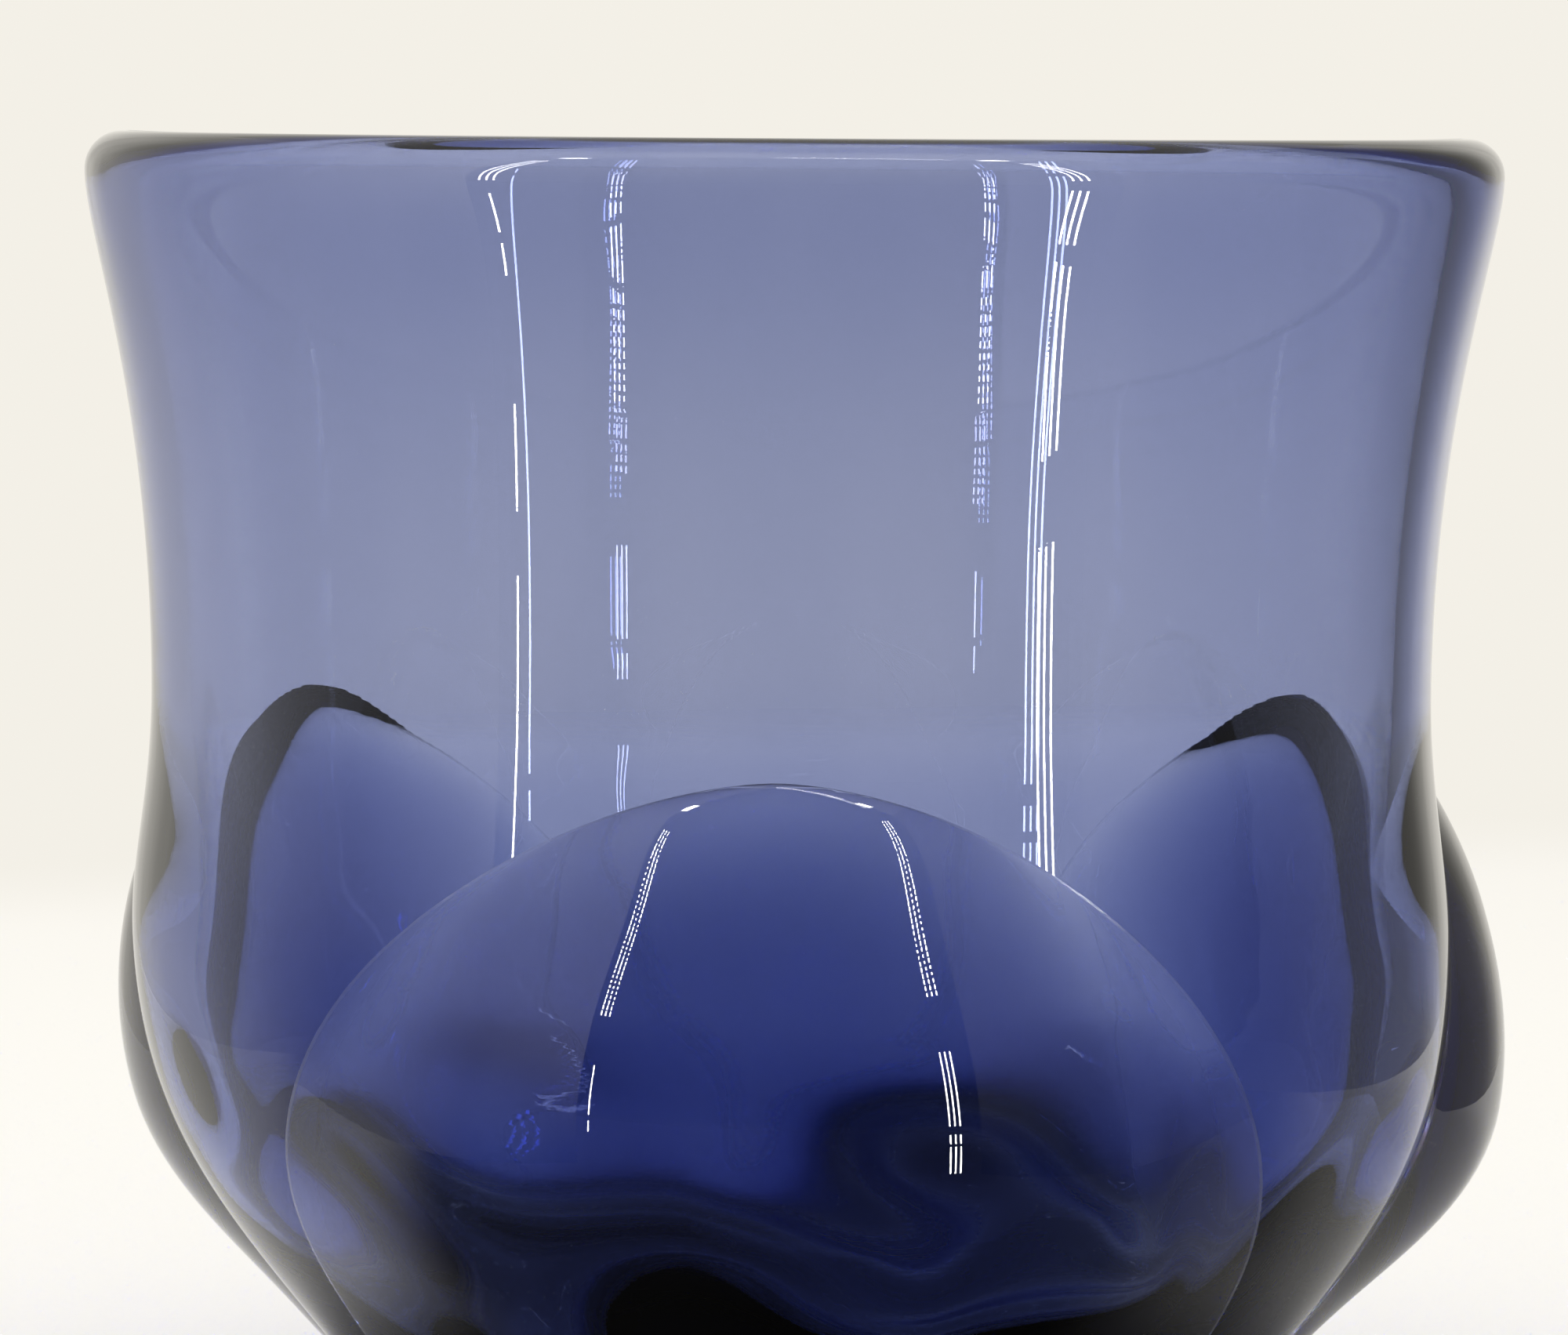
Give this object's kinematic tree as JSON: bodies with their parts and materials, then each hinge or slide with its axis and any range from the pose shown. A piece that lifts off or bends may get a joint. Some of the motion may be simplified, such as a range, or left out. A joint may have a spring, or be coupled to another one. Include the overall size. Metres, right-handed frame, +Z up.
{
  "type": "glass vase",
  "caption": "Heavy blown glass vase with a flared mouth, a waist, a thick solid base and crowned petals of glass applied round its belly.",
  "frame": {"origin": "middle of the flat face that the vase rests on, on the axis of the cup", "axes": "+Z up along the axis of the cup towards its mouth, -Y towards the widest petal, +X to the right as that petal is looked at"},
  "size_m": [0.1233, 0.1251, 0.118],
  "materials": {
    "body_glass": "fire-polished clear blue-violet glass",
    "petal_glass": "fire-polished clear blue-violet glass, thick"
  },
  "bodies": {
    "root": {"body": "body_glass", "petal_front": "petal_glass", "petal_right": "petal_glass", "petal_left": "petal_glass"}
  },
  "joints": []
}
